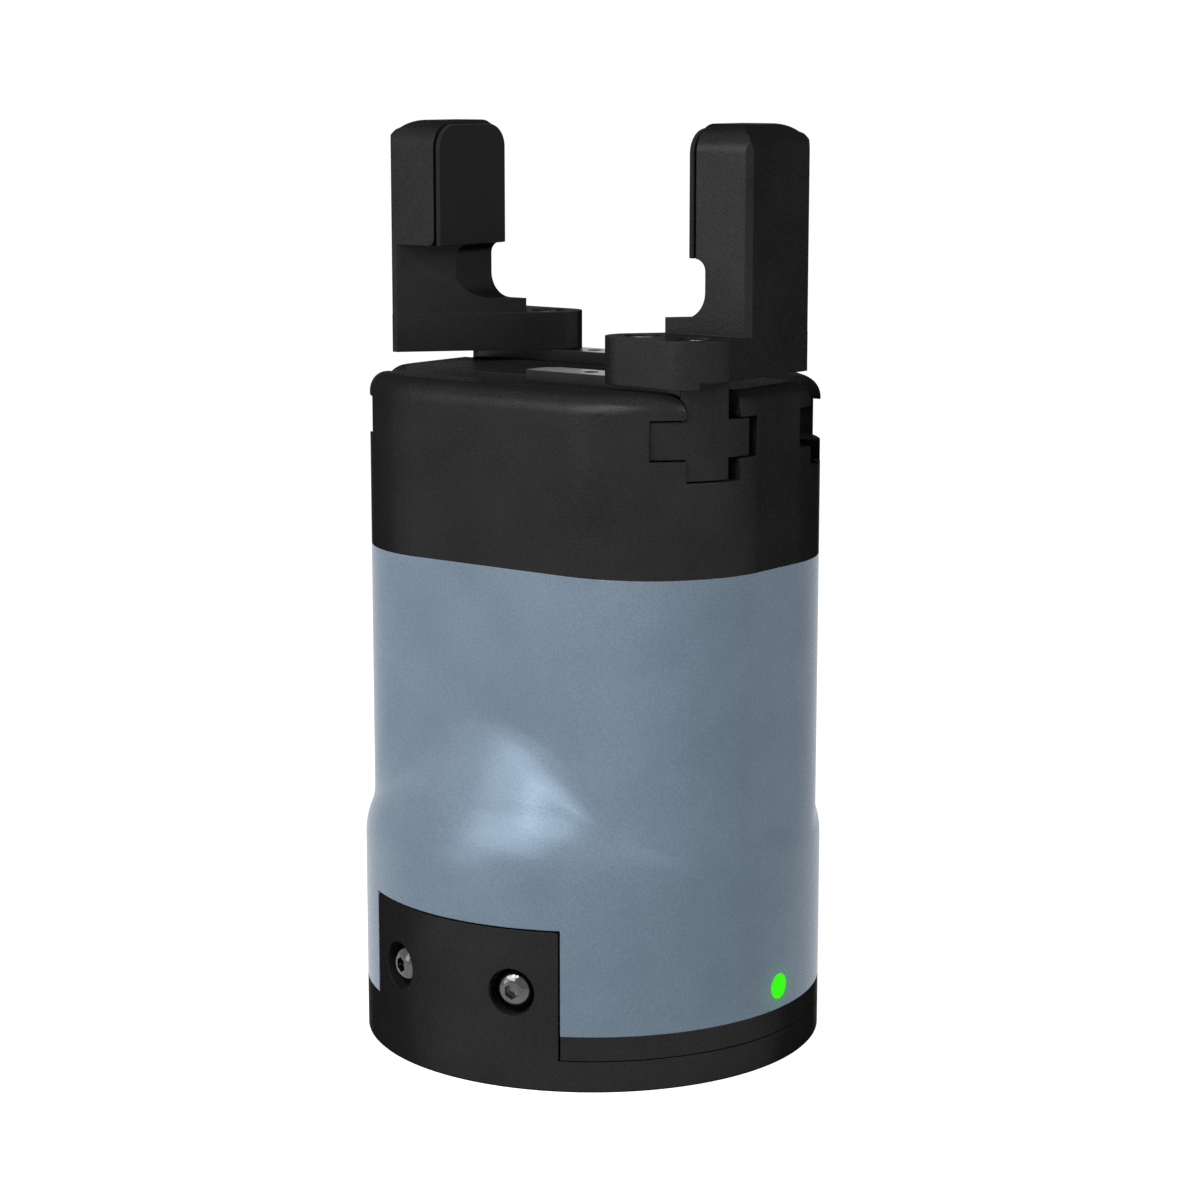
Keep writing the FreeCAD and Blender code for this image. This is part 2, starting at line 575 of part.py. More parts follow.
save("board_standoffs", group(stand))
save("encoder_board", group([encoder] + enc_posts))

# Pinion with the planet carrier, turning about Z
pinion = prism(gear_outline(PINION_TEETH, GEAR_M, 0.16, -math.pi / 2), PINION_Z[0], PINION_Z[1])
pinion = pinion.cut(cyl(0, 0, PINION_Z[0] - 1, PINION_Z[1] + 1, 5.0))
save("pinion", pinion)
carrier = cyl(0, 0, STAGE_Z[1] + 0.6, STAGE_Z[1] + 4.0, 14.5)
carrier = carrier.fuse(cyl(0, 0, STAGE_Z[1] + 3.0, PINION_Z[0], 5.6).common(
    cyl(0, 0, 0, PLATE_Z[0] - 0.3, 5.6).fuse(cyl(0, 0, 0, REACH, 3.97)).fuse(
        cyl(0, 0, PLATE_Z[1] + 0.3, REACH, 5.6))))
carrier = carrier.fuse(cyl(0, 0, PINION_Z[0] - 0.1, PINION_Z[1], 5.0))
carrier = carrier.fuse(cyl(0, 0, PINION_Z[1] - 0.1, BEARING_TOP - 0.4, 3.97))
ORBIT = (SUN_TEETH + PLANET_TEETH) * STAGE_M / 2
PIN_R = 1.5
for k in range(3):
    a = math.radians(120 * k)
    carrier = carrier.fuse(cyl(ORBIT * math.cos(a), ORBIT * math.sin(a), STAGE_Z[0] + 0.3, STAGE_Z[1] + 2, PIN_R))
save("planet_carrier", carrier)
for k in range(3):
    a = 120 * k
    x = ORBIT * math.cos(math.radians(a))
    y = ORBIT * math.sin(math.radians(a))
    # A planet tooth points outward along the carrier arm, into a ring gap
    pts = gear_outline(PLANET_TEETH, STAGE_M, 0.16, math.radians(a))
    planet = prism(moved_points(pts, x, y), STAGE_Z[0] + 0.3, STAGE_Z[1])
    planet = planet.cut(cyl(x, y, STAGE_Z[0] - 1, STAGE_Z[1] + 1, PIN_R + 0.04))
    save("planet_gear_%d" % (k + 1), planet)

# Sun gear, rotor shaft, rotor and encoder magnet
sun = prism(gear_outline(SUN_TEETH, STAGE_M, 0.16, math.pi / SUN_TEETH), STAGE_Z[0] + 0.3, STAGE_Z[1])
sun = sun.fuse(cyl(0, 0, ENCODER_Z + 2.9, STAGE_Z[0] + 0.5, 2.57))
save("sun_shaft", sun)
rotor = tube(0, 0, MOTOR_Z[0] + 4, MOTOR_Z[1] - 4, 2.57, 13.0)
save("rotor", rotor)
save("encoder_magnet", cyl(0, 0, ENCODER_Z + 1.7, ENCODER_Z + 2.9, 3.0))

# Right jaw: slider, rack, end cap
slider_all = box(SLIDER_X0, REACH, -JAW_Y - NECK_HALF, -JAW_Y + NECK_HALF, SLIDER_Z0, SLIDER_Z1)
slider_all = slider_all.fuse(box(SLIDER_X0, REACH, OUTER_FACE, INNER_FACE, ARM_Z0, ARM_Z1))
slider_all = slider_all.common(body_prism(SLIDER_RECESS, SLIDER_Z0 - 1, SLIDER_Z1 + 1))
inner = body_prism(SLIDER_RECESS + END_CAP_T, SLIDER_Z0 - 1, SLIDER_Z1 + 1)
slider = slider_all.common(inner)
end_cap = slider_all.cut(inner)
END_SCREW_X = BODY_X - 10.6
END_PIN_L = 6.8
for way in WAYS:
    slider = slider.cut(v_groove(way, ARM_MID, GROOVE, SLIDER_X0 - 1, GROOVE_X1))
RACK_SCREW_Y = -JAW_Y + 1.4
RACK_SCREW_X = (6.0, 28.0)
for x in SCREW_X + HOLE_X:
    hole = cyl(x, -JAW_Y, SLIDER_Z1 - 9, SLIDER_Z1 + 1, 1.5)
    slider = slider.cut(hole)
for x in DOWEL_X:
    slider = slider.cut(cyl(x, -JAW_Y, SLIDER_Z1 - 5, SLIDER_Z1 + 1, 1.5))
for x in RACK_SCREW_X:
    slider = slider.cut(cyl(x, RACK_SCREW_Y, SLIDER_Z0 - 1, SLIDER_Z0 + 5, 1.25))
END_PIN_Z = (SLIDER_Z0 + 6.2, SLIDER_Z0 + 2.2)
for z in END_PIN_Z:
    slider = slider.cut(rod((END_SCREW_X, -JAW_Y, z), (1, 0, 0), 1.25, 20))
    end_cap = end_cap.cut(rod((END_SCREW_X, -JAW_Y, z), (1, 0, 0), 1.25, END_PIN_L))
end_pins = group([rod((END_SCREW_X, -JAW_Y, z), (1, 0, 0), 1.25, END_PIN_L) for z in END_PIN_Z])
pitch = math.pi * GEAR_M
pitch_y = -PINION_TEETH * GEAR_M / 2
lean = math.tan(math.radians(20))
half = pitch / 4 - 0.08
pts = [(RACK_X[0], -RACK_BACK), (RACK_X[1], -RACK_BACK)]
teeth = []
first = math.ceil((RACK_X[0] + 1.6) / pitch - 0.5)
last = math.floor((RACK_X[1] - 1.6) / pitch - 0.5)
root_y = pitch_y - 1.2 * GEAR_M
tip_y = pitch_y + 0.86 * GEAR_M
for i in range(first, last + 1):
    c = (i + 0.5) * pitch
    teeth.append((c - half - 1.2 * lean, root_y))
    teeth.append((c - half + 0.86 * lean, tip_y))
    teeth.append((c + half - 0.86 * lean, tip_y))
    teeth.append((c + half + 1.2 * lean, root_y))
pts.append((RACK_X[1], root_y))
for p in reversed(teeth):
    pts.append(p)
pts.append((RACK_X[0], root_y))
rack = prism(pts, RACK_Z[0], RACK_Z[1])
rack_screws = []
for x in RACK_SCREW_X:
    y = RACK_SCREW_Y
    rack = rack.cut(cyl(x, y, RACK_Z[0] - 1, RACK_Z[1] + 1, 1.25))
    rack = rack.cut(cyl(x, y, RACK_Z[0] - 1, RACK_Z[0] + 2.6, 2.3))
    rack_screws.append(cyl(x, y, RACK_Z[0] + 0.2, RACK_Z[0] + 2.6, 2.3).fuse(
        cyl(x, y, RACK_Z[0] + 2.6, SLIDER_Z0 + 5, 1.25)))

# Right finger
dx = 21.5
dy = 24.6
slope = dx / dy
diag_x = FINGER_X - 1.6
tip_x = diag_x - (FINGER_HALF - FOOT_Y) * slope
c = FINGER_EDGE
foot_plan = [(FINGER_X, FINGER_HALF - c, 0), (FINGER_X - c, FINGER_HALF, 0), (diag_x, FINGER_HALF, 0),
             (tip_x, FOOT_Y, FOOT_TIP_R), (FINGER_X, FOOT_Y, FOOT_CORNER)]
foot = rounded_plan(foot_plan, SLIDER_Z1, FOOT_Z1)
lip = rounded_plan(foot_plan, SLIDER_Z1 - LIP_DROP, SLIDER_Z1)
lip = lip.common(box(0, REACH, -REACH, -JAW_Y - NECK_HALF - 0.05, SLIDER_Z0, FOOT_Z1))
toe_x = diag_x - 2 * FINGER_HALF * slope
upright_plan = [(FINGER_X - c, -FINGER_HALF), (FINGER_X, -FINGER_HALF + c), (FINGER_X, FINGER_HALF - c),
                (FINGER_X - c, FINGER_HALF), (diag_x, FINGER_HALF), (toe_x, -FINGER_HALF)]
upright = prism(upright_plan, FOOT_Z1 - 0.5, BAR_Z0)
bar_plan = [(FINGER_X - c, -FINGER_HALF), (FINGER_X, -FINGER_HALF + c), (FINGER_X, FINGER_HALF - c),
            (FINGER_X - c, FINGER_HALF), (BAR_X, FINGER_HALF), (BAR_X, -FINGER_HALF)]
bar = prism(bar_plan, BAR_Z0, FINGER_Z1)


def tip_section(half_y, z0, z1, r, x0, x1):
    """Section across Y with its two upper corners rounded, carried along X."""
    blank = rounded_plan([(-z0, -half_y, 0), (-z0, half_y, 0), (-z1, half_y, r), (-z1, -half_y, r)], x0, x1)
    blank.rotate(FreeCAD.Vector(0, 0, 0), FreeCAD.Vector(0, 1, 0), 90)
    return blank


def raised(plan, y0, y1):
    """Outline given in X and Z, carried along Y."""
    blank = rounded_plan([(x, z, r) for x, z, r in plan], -y1, -y0)
    blank.rotate(FreeCAD.Vector(0, 0, 0), FreeCAD.Vector(1, 0, 0), 90)
    return blank


bar = bar.common(tip_section(FINGER_HALF, SLIDER_Z0, FINGER_Z1, TIP_R, PAD_X - 10, FINGER_X + 10))
side_outline = [(PAD_X - 10, SLIDER_Z0, 0), (FINGER_X, SLIDER_Z0, 0), (FINGER_X, FINGER_Z1, TIP_R),
                (PAD_X - 10, FINGER_Z1, 0)]
bar = bar.common(raised(side_outline, -FINGER_HALF - 1, FINGER_HALF + 1))
corner = box(BAR_X - 1, BAR_X + BAR_CORNER, 0, FINGER_HALF + 1, BAR_Z0 - 1, BAR_Z0 + BAR_CORNER)
corner = corner.cut(rod((BAR_X + BAR_CORNER, -1, BAR_Z0 + BAR_CORNER), (0, 1, 0), BAR_CORNER, FINGER_HALF + 3))
bar = bar.cut(corner)
notch = raised([(5.0, TOE_Z, 0), (NOTCH_X, TOE_Z, 4.9), (NOTCH_X, BAR_Z0, 2.3), (5.0, BAR_Z0, 0)],
               -FINGER_HALF - 1, FINGER_HALF + 1)
upright = upright.cut(notch)
finger = foot.fuse([upright, bar, lip]).removeSplitter()
for x in SCREW_X:
    finger = finger.cut(cyl(x, -JAW_Y, FOOT_Z1 - 2.6, FOOT_Z1 + 1.5, 3.0))
    finger = finger.cut(cyl(x, -JAW_Y, SLIDER_Z1 - 1, FOOT_Z1, 1.7))
for x in DOWEL_X:
    finger = finger.cut(cyl(x, -JAW_Y, SLIDER_Z1 - 1, SLIDER_Z1 + 3.0, 1.5))


def cap_screw(x, y, seat, head_r, head_h, shank_r, length):
    hexagon = []
    for k in range(6):
        b = math.radians(60 * k)
        hexagon.append((x + 0.52 * head_r * math.cos(b), y + 0.52 * head_r * math.sin(b)))
    head = cyl(x, y, seat, seat + head_h, head_r)
    head = head.cut(prism(hexagon, seat + head_h * 0.45, seat + head_h + 1))
    return head.fuse(cyl(x, y, seat - length, seat, shank_r))


seat_z = FOOT_Z1 - 2.6
finger_screws = [cap_screw(x, -JAW_Y, seat_z, 2.75, 2.3, 1.5, seat_z - SLIDER_Z1 + 7) for x in SCREW_X]
finger_dowel = [cyl(x, -JAW_Y, SLIDER_Z1 - 5, SLIDER_Z1 + 3, 1.5) for x in DOWEL_X]
pad = tip_section(PAD_HALF, BAR_Z0, PAD_Z1, 4.6, PAD_X, PAD_X + PAD_T)
pad = pad.fuse(tip_section(PAD_HALF - 1.2, BAR_Z0 + 1.2, PAD_Z1 - 1.2, 3.6, PAD_X + PAD_T, BAR_X))

cages = []
wheels = []
for way in WAYS:
    cages.append(cage(way))
    wheels += rollers(way)

right = {
    "slider": slider,
    "slide_end_cap": end_cap,
    "end_cap_pins": end_pins,
    "rack": rack,
    "rack_screws": group(rack_screws),
    "finger": finger,
    "finger_screws": group(finger_screws),
    "finger_dowel": group(finger_dowel),
    "grip_pad": pad,
    "roller_cages": group(cages),
    "crossed_rollers": group(wheels),
}
for name, shape in right.items():
    save("right_" + name, shape)
    save("left_" + name, turned(shape))
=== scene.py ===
"""Visual model of an electric two-finger gripper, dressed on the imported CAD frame."""

import json
import math

import bmesh
import bpy
from mathutils import Matrix, Vector

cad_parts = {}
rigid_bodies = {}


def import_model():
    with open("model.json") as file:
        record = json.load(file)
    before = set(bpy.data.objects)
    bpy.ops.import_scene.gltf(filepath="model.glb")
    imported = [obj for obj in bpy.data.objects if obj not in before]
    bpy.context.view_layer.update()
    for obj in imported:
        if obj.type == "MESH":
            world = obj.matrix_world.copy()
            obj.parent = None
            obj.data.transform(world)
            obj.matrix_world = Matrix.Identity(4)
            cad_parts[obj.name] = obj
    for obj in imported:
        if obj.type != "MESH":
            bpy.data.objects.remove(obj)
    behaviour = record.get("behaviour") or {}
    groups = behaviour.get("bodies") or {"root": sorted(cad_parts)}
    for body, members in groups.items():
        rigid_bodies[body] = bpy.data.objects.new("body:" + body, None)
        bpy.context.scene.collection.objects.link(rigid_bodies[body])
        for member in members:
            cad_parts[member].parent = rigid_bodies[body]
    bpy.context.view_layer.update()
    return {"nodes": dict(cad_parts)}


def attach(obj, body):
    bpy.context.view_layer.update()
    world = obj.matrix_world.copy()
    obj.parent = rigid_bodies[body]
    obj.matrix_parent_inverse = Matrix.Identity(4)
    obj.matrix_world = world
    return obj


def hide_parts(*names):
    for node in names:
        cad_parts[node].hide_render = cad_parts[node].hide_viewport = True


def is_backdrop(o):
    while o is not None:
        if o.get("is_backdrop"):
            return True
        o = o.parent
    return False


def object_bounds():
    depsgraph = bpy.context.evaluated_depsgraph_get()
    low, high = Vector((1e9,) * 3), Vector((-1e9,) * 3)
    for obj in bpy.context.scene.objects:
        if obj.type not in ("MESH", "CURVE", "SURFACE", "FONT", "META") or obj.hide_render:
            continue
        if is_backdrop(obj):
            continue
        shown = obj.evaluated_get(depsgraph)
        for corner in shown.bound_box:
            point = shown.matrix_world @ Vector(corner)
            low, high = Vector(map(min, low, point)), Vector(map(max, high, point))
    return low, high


for leftover in list(bpy.data.objects):
    bpy.data.objects.remove(leftover)
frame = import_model()

# Sizes in millimetres. Shapes are built in millimetres and scaled when they are finished.
MM = 0.001
UP = (0, 0, 1)
ALONG_X = (1, 0, 0)
FAR = 60.0  # beyond every outline

# Body
BASE_R = 45.0
SLEEVE_Z0 = 10.8
SLEEVE_STEPS = 300
SEAM_Z = 96.2
CAP_Z1 = 130.1
BODY_X = 43.6
BODY_Y = 31.7
BODY_CORNER = 25.3
WALL = 3.0
SHOULDER = [(45.0, 38.8), (44.84, 41.5), (44.23, 44.0), (42.84, 47.2), (40.62, 51.0), (38.71, 53.8),
            (36.52, 57.2), (34.0, 61.2), (31.3, 64.7), (29.0, 67.6), (26.0, 71.0), (21.0, 76.0)]
HOLLOW = 3.0
HOLLOW_Z = (40.0, 58.0)
TAB_HALF = 29.5  # degrees to each side of the tab's middle
TAB_PLAY = 0.45
TAB_TOP = 30.8
GAP = 0.35
LIGHT_Z = 15.2
LIGHT_R = 2.5
SOCKET_Z = 23.0
SOCKET_R = 6.0

# Button heads in the tabs
SCREW_DEG = 17.9
SCREW_Z = 18.7
SEAT_R = BASE_R - 2.7
SHANK_R = 2
SHANK_DEPTH = 12
HEAD_R = 4.1
HEAD_H = 2.35
HEX_R = 1.55
HEX_Z0 = 0.9
DOME_R = 5.08
DOME_Z = -2.4
DOME_EDGE_DEG = 53.8
DOME_STEP_DEG = 2.75
DOME_POINTS = 13

# Slides and the cross-shaped ways they run in
JAW_Y = 17.4
SLIDER_X0 = 0.35
SLIDER_Z0 = 114.2
SLIDER_Z1 = 132.35
NECK_HALF = 3.65
ARM_Z0 = 118.25
ARM_TOP = 125.2
SLIDE_CORNER = 3.2
SLOT_PLAY = 0.3
SLOT_NECK = (-21.8, -11.5)
SLOT_ARMS = (-26.6, -7.0)
SLOT_CORNER = 0.5
SLOT_LIP_R = 3.0
MOUTH_X = 38.1
MOUTH_LENGTH = 21.9
MOUTH_MARGIN = 5

# Guide cap
CAP_RIM = 4.0
CAP_CAVITY = 113.2
RACK_WAY_X = 36.6
RACK_WAY_Y = -10.7
RAIL_X = 22.0
RAILS = ((-28.95, -26.55), (-8.25, -5.85))
BEARING_R = 9.5
BEARING_TOP = 117.0
POSTS = ((36.6, 0.0), (0.0, 25.4), (-36.6, 0.0), (0.0, -25.4))
POST_Z = (101.5, 110.5)
POST_R = 3.4
POST_BORE_R = 1.5

# Cross-shaped slide ends on two studs each
END_NECK = (-21.4, -13.75)
END_ARMS = (-26.15, -8.65)
END_RECESS = 0.6
END_T = 1.2
END_X0 = 20
STUD_X = 34.0
STUD_LENGTH = 4.5
STUD_R = 1.2
STUD_HEIGHTS = (2.2, 6.2)

# Fingers
FINGER_X = 43.6
FINGER_OUT = 0.5
FINGER_HALF = 10.15
FINGER_WIDER = 1.06
FINGER_EDGE = 1.0
UPRIGHT_CUT = 0.4  # above the foot's top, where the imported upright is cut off
FOOT_Z1 = 139.8
FOOT_Y = -23.8
FOOT_TIP_X = 12.34
FOOT_BACK_X = 41.5
FOOT_CORNER = 8.0
FOOT_TIP_R = 5.25
LIP_Y = -21.6
LIP_DROP = 1.3
FINGER_SCREWS = (25.0, 37.0)
FINGER_SCREW_R = 1.7
COUNTERBORE_R = 3.4
COUNTERBORE_DEPTH = 2.6
FINGER_DOWEL = 31.0
DOWEL_R = 1.5
DOWEL_DEPTH = 3

# Rounded edges
SHARP_DEG = 30.0
SMOOTH_DEG = 35.0


# ---------------------------------------------------------------- finishes

class Wire:
    """One output of a material's nodes. Arithmetic on it adds Math nodes."""

    def __init__(self, tree, socket):
        self.tree = tree
        self.socket = socket

    def node(self, kind, settings, values, out=0):
        made = self.tree.nodes.new(kind)
        for key, value in settings.items():
            setattr(made, key, value)
        for key, value in values.items():
            if isinstance(value, Wire):
                self.tree.links.new(value.socket, made.inputs[key])
            else:
                made.inputs[key].default_value = value
        return Wire(self.tree, made.outputs[out])

    def sum(self, operation, a, b):
        return self.node("ShaderNodeMath", {"operation": operation}, {0: a, 1: b})

    def __add__(self, other):
        return self.sum("ADD", self, other)

    def __sub__(self, other):
        return self.sum("SUBTRACT", self, other)

    def __rsub__(self, other):
        return self.sum("SUBTRACT", other, self)

    def __mul__(self, other):
        return self.sum("MULTIPLY", self, other)

    def noise(self, scale, detail=2.0, roughness=0.5, stretch=(1.0, 1.0, 1.0)):
        place = self.node("ShaderNodeMapping", {}, {"Vector": self, "Scale": stretch})
        return self.node("ShaderNodeTexNoise", {}, {"Vector": place, "Scale": scale, "Detail": detail,
                                                    "Roughness": roughness})

    def mix(self, low, high):
        return self.node("ShaderNodeMix", {"data_type": "RGBA", "clamp_factor": True},
                         {"Factor": self, 6: low, 7: high}, 2)

    def between(self, low, high):
        """0 at low, 1 at high, and clamped beyond them."""
        return self.node("ShaderNodeMapRange", {"clamp": True},
                         {"Value": self, "From Min": low, "From Max": high})


def srgb(r, g, b):
    """Colour as seen on screen, 0 to 255, as the linear colour a shader wants."""
    def straight(v):
        v = v / 255
        return v / 12.92 if v <= 0.04045 else ((v + 0.055) / 1.055) ** 2.4
    return (straight(r), straight(g), straight(b), 1.0)


def grey(v):
    return srgb(v, v, v)


class Finish:
    """A material with one Principled shader, and the object's own coordinates to paint by."""

    def __init__(self, name, **plain):
        self.material = bpy.data.materials.new(name)
        self.material.use_nodes = True
        self.tree = self.material.node_tree
        self.shader = self.tree.nodes["Principled BSDF"]
        for key, value in plain.items():
            self.shader.inputs[key.replace("_", " ")].default_value = value
        place = self.tree.nodes.new("ShaderNodeTexCoord")
        self.at = Wire(self.tree, place.outputs["Object"])

    def feed(self, socket, wire):
        self.tree.links.new(wire.socket, self.shader.inputs[socket])

    def relief(self, height, depth):
        """Fine bumps of a depth in metres, over edges softened by a small radius."""
        edge = self.at.node("ShaderNodeBevel", {"samples": 6}, {"Radius": 0.00025})
        bump = self.at.node("ShaderNodeBump", {}, {"Strength": 1.0, "Distance": depth, "Height": height,
                                                   "Normal": edge})
        self.feed("Normal", bump)


def blasted(name, dark, light, rough, grain=0.00002, size=2300.0, **plain):
    """Bead-blasted coat: fine speckle in colour, gloss and relief, with slow cloudiness."""
    coat = Finish(name, **plain)
    fine = coat.at.noise(size, 3.0, 0.6)
    cloud = coat.at.noise(70.0, 3.0, 0.5)
    mask = (fine * 0.65 + cloud * 0.5).between(0.32, 0.83)
    coat.feed("Base Color", mask.mix(dark, light))
    coat.feed("Roughness", (fine - 0.5) * 0.22 + (cloud - 0.5) * 0.1 + rough)
    coat.relief(fine, grain)
    return coat


def machined(name, dark, light, rough, metallic, lines, size=900.0, grain=0.000004):
    """Ground or turned metal: fine lines drawn out along one direction."""
    metal = Finish(name, Metallic=metallic)
    stroke = metal.at.noise(size, 2.0, 0.6, lines)
    cloud = metal.at.noise(120.0, 2.0, 0.5)
    mask = (stroke * 0.6 + cloud * 0.4).between(0.3, 0.7)
    metal.feed("Base Color", mask.mix(dark, light))
    metal.feed("Roughness", (stroke - 0.5) * 0.2 + rough)
    metal.relief(stroke, grain)
    return metal


BLACK = (0.0, 0.0, 0.0, 1.0)
EVEN = (1.0, 1.0, 1.0)
ACROSS_X = (60.0, 1.0, 1.0)
coats = {
    "black_anodised": blasted("black_anodised", grey(33), grey(47), 0.29, 0.00005, Metallic=0.42,
                              Specular_IOR_Level=0.0, Specular_Tint=BLACK),
    "finger_black": blasted("finger_black", grey(34), grey(47), 0.32, 0.00004, Metallic=0.45,
                            Specular_IOR_Level=0.0, Specular_Tint=BLACK),
    "pad_rubber": blasted("pad_rubber", grey(31), grey(40), 0.5, 0.00002, Specular_IOR_Level=0.02),
    "seal_rubber": blasted("seal_rubber", grey(18), grey(24), 0.6, 0.00001, Specular_IOR_Level=0.3),
    # the blue coat's emission carries the painted glow around the light lens, set further down
    "blue_coat": blasted("blue_coat", srgb(100, 114, 128), srgb(120, 135, 149), 0.27, 0.00003,
                         Metallic=0.1, Specular_IOR_Level=0.15, Specular_Tint=(0.5, 0.72, 1.0, 1.0),
                         Emission_Strength=1.0),
    "slide_steel": machined("slide_steel", grey(30), grey(44), 0.3, 1.0, ACROSS_X),
    "ground_steel": machined("ground_steel", grey(70), grey(92), 0.32, 1.0, ACROSS_X),
    "zinc_screw": machined("zinc_screw", grey(72), grey(92), 0.15, 1.0, EVEN, 500.0, 0.000001),
    "board": blasted("board", srgb(20, 62, 36), srgb(28, 80, 46), 0.4, 0.000004, 500.0),
    "component": blasted("component", grey(30), grey(44), 0.5, 0.000004, 700.0),
    "stator_core": machined("stator_core", grey(90), grey(120), 0.45, 0.9, (1.0, 1.0, 60.0)),
    "rotor_magnet": machined("rotor_magnet", grey(70), grey(96), 0.4, 0.8, (1.0, 1.0, 30.0)),
    "socket_metal": machined("socket_metal", grey(140), grey(168), 0.3, 1.0, ACROSS_X),
    "contact": machined("contact", srgb(196, 158, 84), srgb(216, 180, 104), 0.28, 1.0, EVEN, 700.0,
                        0.000001),
}

GLOW_GRAIN = 2600.0
coats["light_lens"] = lens = Finish("light_lens", Roughness=0.35, Emission_Strength=1.0,
                                    Specular_IOR_Level=0.0)
speckle = lens.at.noise(GLOW_GRAIN, 1.0, 0.6).between(0.38, 0.6)
lens.feed("Base Color", speckle.mix(srgb(2, 60, 8), srgb(20, 80, 4)))
lens.feed("Emission Color", speckle.mix(srgb(0, 246, 36), srgb(80, 250, 0)))
lens.relief(speckle, 0.00001)

# Painted glow: light that the lens spills onto the paint around it, drawn as emission in the blue coat
SPILL_NEAR = 0.0024
SPILL_FAR = 0.0075
blue = coats["blue_coat"]
distance = blue.at.node("ShaderNodeVectorMath", {"operation": "DISTANCE"},
                        {0: blue.at, 1: (BASE_R * MM, 0.0, LIGHT_Z * MM)}, 1)
fade = distance.between(SPILL_NEAR, SPILL_FAR)
spill = (1 - fade) * (1 - fade) * blue.at.noise(GLOW_GRAIN, 1.0, 0.6)
blue.feed("Emission Color", spill.mix(BLACK, srgb(0, 96, 36)))

finishes = {name: coat.material for name, coat in coats.items()}
for node in frame["nodes"].values():
    for slot in node.material_slots:
        slot.material = finishes[slot.material.name.split(".")[0]]


# ---------------------------------------------------------------- shape tools

def solid(bm):
    """An object made of a bmesh in millimetres, faces outward."""
    bmesh.ops.recalc_face_normals(bm, faces=bm.faces[:])
    mesh = bpy.data.meshes.new("shape")
    bm.to_mesh(mesh)
    bm.free()
    obj = bpy.data.objects.new("shape", mesh)
    bpy.context.scene.collection.objects.link(obj)
    return obj


def baked(obj):
    """Puts what the modifiers make into the mesh itself."""
    graph = bpy.context.evaluated_depsgraph_get()
    mesh = bpy.data.meshes.new_from_object(obj.evaluated_get(graph), depsgraph=graph)
    old = obj.data
    obj.modifiers.clear()
    obj.data = mesh
    bpy.data.meshes.remove(old)
    return obj


def combine(obj, others, how="DIFFERENCE"):
    """Cuts the others out of an object, or joins or intersects it with them, and uses them up."""
    for other in others:
        step = obj.modifiers.new("step", "BOOLEAN")
        step.operation = how
        step.solver = "EXACT"
        step.object = other
    baked(obj)
    for other in others:
        bpy.data.objects.remove(other)
    return obj


def spun(bm, geom, steps):
    """Turns a profile once about Z and welds its ends."""
    bmesh.ops.spin(bm, geom=geom, axis=UP, cent=(0, 0, 0), angle=2 * math.pi, steps=steps, use_merge=True)
    bmesh.ops.remove_doubles(bm, verts=bm.verts[:], dist=1e-4)


def lathe(profile, steps=256):
    """Solid of revolution about Z from (radius, z) points that start and end on the axis."""
    bm = bmesh.new()
    verts = [bm.verts.new((r, 0, z)) for r, z in profile]
    edges = [bm.edges.new(pair) for pair in zip(verts, verts[1:])]
    spun(bm, verts + edges, steps)
    return solid(bm)


def drum(z0, z1, r, steps=64):
    return lathe([(0, z0), (r, z0), (r, z1), (0, z1)], steps)


def aimed(obj, spot, direction):
    """Turns an object made about Z so that Z points along a direction, and puts it at a spot."""
    turn = Vector(direction).to_track_quat("Z", "Y").to_matrix().to_4x4()
    obj.data.transform(Matrix.Translation(Vector(spot)) @ turn)
    return obj


def plan(corners, z0, z1, round_steps=10):
    """Straight-sided solid from plan corners (x, y, radius)."""
    bm = bmesh.new()
    verts = [bm.verts.new((x, y, z0)) for x, y, r in corners]
    bm.faces.new(verts)
    count = len(corners)
    for i, (x, y, r) in enumerate(corners):
        if r <= 0:
            continue
        here = Vector((x, y))
        to_last = Vector(corners[i - 1][:2]) - here
        to_next = Vector(corners[(i + 1) % count][:2]) - here
        half = to_last.angle(to_next) / 2
        middle = to_last.normalized() + to_next.normalized()
        centre = here + middle.normalized() * (r / math.sin(half))
        made = bmesh.ops.bevel(bm, geom=[verts[i]], offset=r / math.tan(half), offset_type="OFFSET",
                               segments=round_steps, profile=0.5, affect="VERTICES", material=-1)
        for v in made["verts"]:
            v.co.xy = centre + (v.co.xy - centre).normalized() * r
    face = bm.faces[:][0]
    made = bmesh.ops.extrude_face_region(bm, geom=[face])
    top = [v for v in made["geom"] if isinstance(v, bmesh.types.BMVert)]
    bmesh.ops.translate(bm, verts=top, vec=(0, 0, z1 - z0))
    return solid(bm)


def block(x0, x1, y0, y1, z0, z1):
    return plan([(x0, y0, 0), (x1, y0, 0), (x1, y1, 0), (x0, y1, 0)], z0, z1)


def along_x(obj):
    """Lays a plan drawn in Y and Z down so that it runs along X."""
    obj.data.transform(Matrix(((0, 0, 1, 0), (1, 0, 0, 0), (0, 1, 0, 0), (0, 0, 0, 1))))
    return obj


def body_prism(inset, z0, z1):
    """The body's rounded rectangle, drawn in by an inset."""
    x = BODY_X - inset
    y = BODY_Y - inset
    r = BODY_CORNER - inset
    return plan([(-x, -y, r), (x, -y, r), (x, y, r), (-x, y, r)], z0, z1, 48)


def cross(neck, arms, foot_z, arm_z, top, edge=0.0):
    """Corners of a cross in Y and Z: a neck and foot of one width, and two arms."""
    z0, z1 = arm_z
    return [(neck[0], foot_z, 0), (neck[1], foot_z, 0), (neck[1], z0, edge), (arms[1], z0, 0),
            (arms[1], z1, 0), (neck[1], z1, edge), (neck[1], top, 0), (neck[0], top, 0),
            (neck[0], z1, edge), (arms[0], z1, 0), (arms[0], z0, 0), (neck[0], z0, edge)]


HALF_TURN = Matrix.Rotation(math.pi, 4, "Z")


